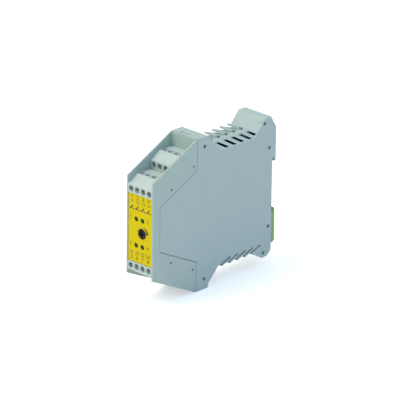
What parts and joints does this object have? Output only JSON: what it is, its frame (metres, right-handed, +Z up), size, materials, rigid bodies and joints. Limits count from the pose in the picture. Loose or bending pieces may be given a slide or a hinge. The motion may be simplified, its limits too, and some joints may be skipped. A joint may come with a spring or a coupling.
{
  "type": "safety relay",
  "caption": "Slim safety relay for a 35 mm rail: grey housing with louvred vents, stepped screw terminals, a yellow front plate with a setting dial and lamps, and a green rail latch.",
  "frame": {"origin": "centre of the rail seat: middle of the width, on the face that sits on the rail, at the rail's mid height", "axes": "+X to the right as seen from the front, +Y from the front plate back to the rail, +Z up"},
  "size_m": [0.0226, 0.107, 0.099],
  "materials": {
    "rear_plastic": "fine satin texture",
    "front_plastic": "fine satin texture",
    "terminal_plastic": "satin",
    "screw_steel": "zinc plated",
    "clamp_steel": "zinc plated",
    "relay_case": "satin",
    "lamp_lens": "clear tinted",
    "label_yellow": "printed film, satin",
    "dial_black": "satin",
    "potentiometer_blue": "satin",
    "board_green": "solder resist",
    "header_black": "satin",
    "capacitor_can": "satin",
    "latch_green": "satin",
    "spring_steel": "drawn wire",
    "contact_metal": "tinned tail"
  },
  "bodies": {
    "housing": {"board_header": "header_black", "capacitors": "capacitor_can", "front_board": "board_green", "front_housing": "front_plastic", "label_plate": "label_yellow", "lamp_lower_left": "lamp_lens", "lamp_lower_right": "lamp_lens", "lamp_upper_left": "lamp_lens", "lamp_upper_right": "lamp_lens", "latch_spring": "spring_steel", "left_shell": "rear_plastic", "lower_contact_bars": "contact_metal", "lower_front_terminal_block": "terminal_plastic", "lower_rear_terminal_block": "terminal_plastic", "main_board": "board_green", "potentiometer": "potentiometer_blue", "relay_1": "relay_case", "relay_2": "relay_case", "relay_3": "relay_case", "relay_4": "relay_case", "right_shell": "rear_plastic", "upper_contact_bars": "contact_metal", "upper_front_terminal_block": "terminal_plastic", "upper_rear_terminal_block": "terminal_plastic"},
    "dial": {"dial_knob": "dial_black"},
    "latch": {"rail_latch": "latch_green"},
    "upper_front_screw_1": {"upper_front_screw_1": "screw_steel"},
    "upper_front_cage_1": {"upper_front_cage_1": "clamp_steel"},
    "upper_front_screw_2": {"upper_front_screw_2": "screw_steel"},
    "upper_front_cage_2": {"upper_front_cage_2": "clamp_steel"},
    "upper_front_screw_3": {"upper_front_screw_3": "screw_steel"},
    "upper_front_cage_3": {"upper_front_cage_3": "clamp_steel"},
    "upper_front_screw_4": {"upper_front_screw_4": "screw_steel"},
    "upper_front_cage_4": {"upper_front_cage_4": "clamp_steel"},
    "upper_rear_screw_1": {"upper_rear_screw_1": "screw_steel"},
    "upper_rear_cage_1": {"upper_rear_cage_1": "clamp_steel"},
    "upper_rear_screw_2": {"upper_rear_screw_2": "screw_steel"},
    "upper_rear_cage_2": {"upper_rear_cage_2": "clamp_steel"},
    "upper_rear_screw_3": {"upper_rear_screw_3": "screw_steel"},
    "upper_rear_cage_3": {"upper_rear_cage_3": "clamp_steel"},
    "upper_rear_screw_4": {"upper_rear_screw_4": "screw_steel"},
    "upper_rear_cage_4": {"upper_rear_cage_4": "clamp_steel"},
    "lower_front_screw_1": {"lower_front_screw_1": "screw_steel"},
    "lower_front_cage_1": {"lower_front_cage_1": "clamp_steel"},
    "lower_front_screw_2": {"lower_front_screw_2": "screw_steel"},
    "lower_front_cage_2": {"lower_front_cage_2": "clamp_steel"},
    "lower_front_screw_3": {"lower_front_screw_3": "screw_steel"},
    "lower_front_cage_3": {"lower_front_cage_3": "clamp_steel"},
    "lower_front_screw_4": {"lower_front_screw_4": "screw_steel"},
    "lower_front_cage_4": {"lower_front_cage_4": "clamp_steel"},
    "lower_rear_screw_1": {"lower_rear_screw_1": "screw_steel"},
    "lower_rear_cage_1": {"lower_rear_cage_1": "clamp_steel"},
    "lower_rear_screw_2": {"lower_rear_screw_2": "screw_steel"},
    "lower_rear_cage_2": {"lower_rear_cage_2": "clamp_steel"},
    "lower_rear_screw_3": {"lower_rear_screw_3": "screw_steel"},
    "lower_rear_cage_3": {"lower_rear_cage_3": "clamp_steel"},
    "lower_rear_screw_4": {"lower_rear_screw_4": "screw_steel"},
    "lower_rear_cage_4": {"lower_rear_cage_4": "clamp_steel"}
  },
  "joints": [
    {"name": "dial_turn", "type": "hinge", "parent": "housing", "child": "dial", "pos_m": [0.0015, -0.10365, -0.0063], "axis": [0, 1, 0], "range_deg": [-145, 145]},
    {"name": "latch_slide", "type": "slide", "parent": "housing", "child": "latch", "axis": [0, 0, -1], "range_m": [0, 0.003], "stiffness_N_per_m": 1500, "springref_m": -0.002, "deforming": ["latch_spring"]},
    {"name": "upper_front_screw_1_turn", "type": "hinge", "parent": "housing", "child": "upper_front_screw_1", "pos_m": [-0.0075, -0.1039, 0.0209], "axis": [0, 1, 0], "range_deg": [0, 1729]},
    {"name": "upper_front_cage_1_slide", "type": "slide", "parent": "housing", "child": "upper_front_cage_1", "axis": [0, -1, 0], "range_m": [0, 0.0024]},
    {"name": "upper_front_screw_2_turn", "type": "hinge", "parent": "housing", "child": "upper_front_screw_2", "pos_m": [-0.0025, -0.1039, 0.0209], "axis": [0, 1, 0], "range_deg": [0, 1729]},
    {"name": "upper_front_cage_2_slide", "type": "slide", "parent": "housing", "child": "upper_front_cage_2", "axis": [0, -1, 0], "range_m": [0, 0.0024]},
    {"name": "upper_front_screw_3_turn", "type": "hinge", "parent": "housing", "child": "upper_front_screw_3", "pos_m": [0.0025, -0.1039, 0.0209], "axis": [0, 1, 0], "range_deg": [0, 1729]},
    {"name": "upper_front_cage_3_slide", "type": "slide", "parent": "housing", "child": "upper_front_cage_3", "axis": [0, -1, 0], "range_m": [0, 0.0024]},
    {"name": "upper_front_screw_4_turn", "type": "hinge", "parent": "housing", "child": "upper_front_screw_4", "pos_m": [0.0075, -0.1039, 0.0209], "axis": [0, 1, 0], "range_deg": [0, 1729]},
    {"name": "upper_front_cage_4_slide", "type": "slide", "parent": "housing", "child": "upper_front_cage_4", "axis": [0, -1, 0], "range_m": [0, 0.0024]},
    {"name": "upper_rear_screw_1_turn", "type": "hinge", "parent": "housing", "child": "upper_rear_screw_1", "pos_m": [-0.0075, -0.0848, 0.0308], "axis": [0, 1, 0], "range_deg": [0, 1729]},
    {"name": "upper_rear_cage_1_slide", "type": "slide", "parent": "housing", "child": "upper_rear_cage_1", "axis": [0, -1, 0], "range_m": [0, 0.0024]},
    {"name": "upper_rear_screw_2_turn", "type": "hinge", "parent": "housing", "child": "upper_rear_screw_2", "pos_m": [-0.0025, -0.0848, 0.0308], "axis": [0, 1, 0], "range_deg": [0, 1729]},
    {"name": "upper_rear_cage_2_slide", "type": "slide", "parent": "housing", "child": "upper_rear_cage_2", "axis": [0, -1, 0], "range_m": [0, 0.0024]},
    {"name": "upper_rear_screw_3_turn", "type": "hinge", "parent": "housing", "child": "upper_rear_screw_3", "pos_m": [0.0025, -0.0848, 0.0308], "axis": [0, 1, 0], "range_deg": [0, 1729]},
    {"name": "upper_rear_cage_3_slide", "type": "slide", "parent": "housing", "child": "upper_rear_cage_3", "axis": [0, -1, 0], "range_m": [0, 0.0024]},
    {"name": "upper_rear_screw_4_turn", "type": "hinge", "parent": "housing", "child": "upper_rear_screw_4", "pos_m": [0.0075, -0.0848, 0.0308], "axis": [0, 1, 0], "range_deg": [0, 1729]},
    {"name": "upper_rear_cage_4_slide", "type": "slide", "parent": "housing", "child": "upper_rear_cage_4", "axis": [0, -1, 0], "range_m": [0, 0.0024]},
    {"name": "lower_front_screw_1_turn", "type": "hinge", "parent": "housing", "child": "lower_front_screw_1", "pos_m": [-0.0075, -0.1039, -0.0286], "axis": [0, 1, 0], "range_deg": [0, 1729]},
    {"name": "lower_front_cage_1_slide", "type": "slide", "parent": "housing", "child": "lower_front_cage_1", "axis": [0, -1, 0], "range_m": [0, 0.0024]},
    {"name": "lower_front_screw_2_turn", "type": "hinge", "parent": "housing", "child": "lower_front_screw_2", "pos_m": [-0.0025, -0.1039, -0.0286], "axis": [0, 1, 0], "range_deg": [0, 1729]},
    {"name": "lower_front_cage_2_slide", "type": "slide", "parent": "housing", "child": "lower_front_cage_2", "axis": [0, -1, 0], "range_m": [0, 0.0024]},
    {"name": "lower_front_screw_3_turn", "type": "hinge", "parent": "housing", "child": "lower_front_screw_3", "pos_m": [0.0025, -0.1039, -0.0286], "axis": [0, 1, 0], "range_deg": [0, 1729]},
    {"name": "lower_front_cage_3_slide", "type": "slide", "parent": "housing", "child": "lower_front_cage_3", "axis": [0, -1, 0], "range_m": [0, 0.0024]},
    {"name": "lower_front_screw_4_turn", "type": "hinge", "parent": "housing", "child": "lower_front_screw_4", "pos_m": [0.0075, -0.1039, -0.0286], "axis": [0, 1, 0], "range_deg": [0, 1729]},
    {"name": "lower_front_cage_4_slide", "type": "slide", "parent": "housing", "child": "lower_front_cage_4", "axis": [0, -1, 0], "range_m": [0, 0.0024]},
    {"name": "lower_rear_screw_1_turn", "type": "hinge", "parent": "housing", "child": "lower_rear_screw_1", "pos_m": [-0.0075, -0.0848, -0.0385], "axis": [0, 1, 0], "range_deg": [0, 1729]},
    {"name": "lower_rear_cage_1_slide", "type": "slide", "parent": "housing", "child": "lower_rear_cage_1", "axis": [0, -1, 0], "range_m": [0, 0.0024]},
    {"name": "lower_rear_screw_2_turn", "type": "hinge", "parent": "housing", "child": "lower_rear_screw_2", "pos_m": [-0.0025, -0.0848, -0.0385], "axis": [0, 1, 0], "range_deg": [0, 1729]},
    {"name": "lower_rear_cage_2_slide", "type": "slide", "parent": "housing", "child": "lower_rear_cage_2", "axis": [0, -1, 0], "range_m": [0, 0.0024]},
    {"name": "lower_rear_screw_3_turn", "type": "hinge", "parent": "housing", "child": "lower_rear_screw_3", "pos_m": [0.0025, -0.0848, -0.0385], "axis": [0, 1, 0], "range_deg": [0, 1729]},
    {"name": "lower_rear_cage_3_slide", "type": "slide", "parent": "housing", "child": "lower_rear_cage_3", "axis": [0, -1, 0], "range_m": [0, 0.0024]},
    {"name": "lower_rear_screw_4_turn", "type": "hinge", "parent": "housing", "child": "lower_rear_screw_4", "pos_m": [0.0075, -0.0848, -0.0385], "axis": [0, 1, 0], "range_deg": [0, 1729]},
    {"name": "lower_rear_cage_4_slide", "type": "slide", "parent": "housing", "child": "lower_rear_cage_4", "axis": [0, -1, 0], "range_m": [0, 0.0024]}
  ],
  "couplings": [
    {"joint": "upper_front_screw_1_turn", "follows": "upper_front_cage_1_slide", "rad_per_m": 12566},
    {"joint": "upper_front_screw_2_turn", "follows": "upper_front_cage_2_slide", "rad_per_m": 12566},
    {"joint": "upper_front_screw_3_turn", "follows": "upper_front_cage_3_slide", "rad_per_m": 12566},
    {"joint": "upper_front_screw_4_turn", "follows": "upper_front_cage_4_slide", "rad_per_m": 12566},
    {"joint": "upper_rear_screw_1_turn", "follows": "upper_rear_cage_1_slide", "rad_per_m": 12566},
    {"joint": "upper_rear_screw_2_turn", "follows": "upper_rear_cage_2_slide", "rad_per_m": 12566},
    {"joint": "upper_rear_screw_3_turn", "follows": "upper_rear_cage_3_slide", "rad_per_m": 12566},
    {"joint": "upper_rear_screw_4_turn", "follows": "upper_rear_cage_4_slide", "rad_per_m": 12566},
    {"joint": "lower_front_screw_1_turn", "follows": "lower_front_cage_1_slide", "rad_per_m": 12566},
    {"joint": "lower_front_screw_2_turn", "follows": "lower_front_cage_2_slide", "rad_per_m": 12566},
    {"joint": "lower_front_screw_3_turn", "follows": "lower_front_cage_3_slide", "rad_per_m": 12566},
    {"joint": "lower_front_screw_4_turn", "follows": "lower_front_cage_4_slide", "rad_per_m": 12566},
    {"joint": "lower_rear_screw_1_turn", "follows": "lower_rear_cage_1_slide", "rad_per_m": 12566},
    {"joint": "lower_rear_screw_2_turn", "follows": "lower_rear_cage_2_slide", "rad_per_m": 12566},
    {"joint": "lower_rear_screw_3_turn", "follows": "lower_rear_cage_3_slide", "rad_per_m": 12566},
    {"joint": "lower_rear_screw_4_turn", "follows": "lower_rear_cage_4_slide", "rad_per_m": 12566}
  ]
}
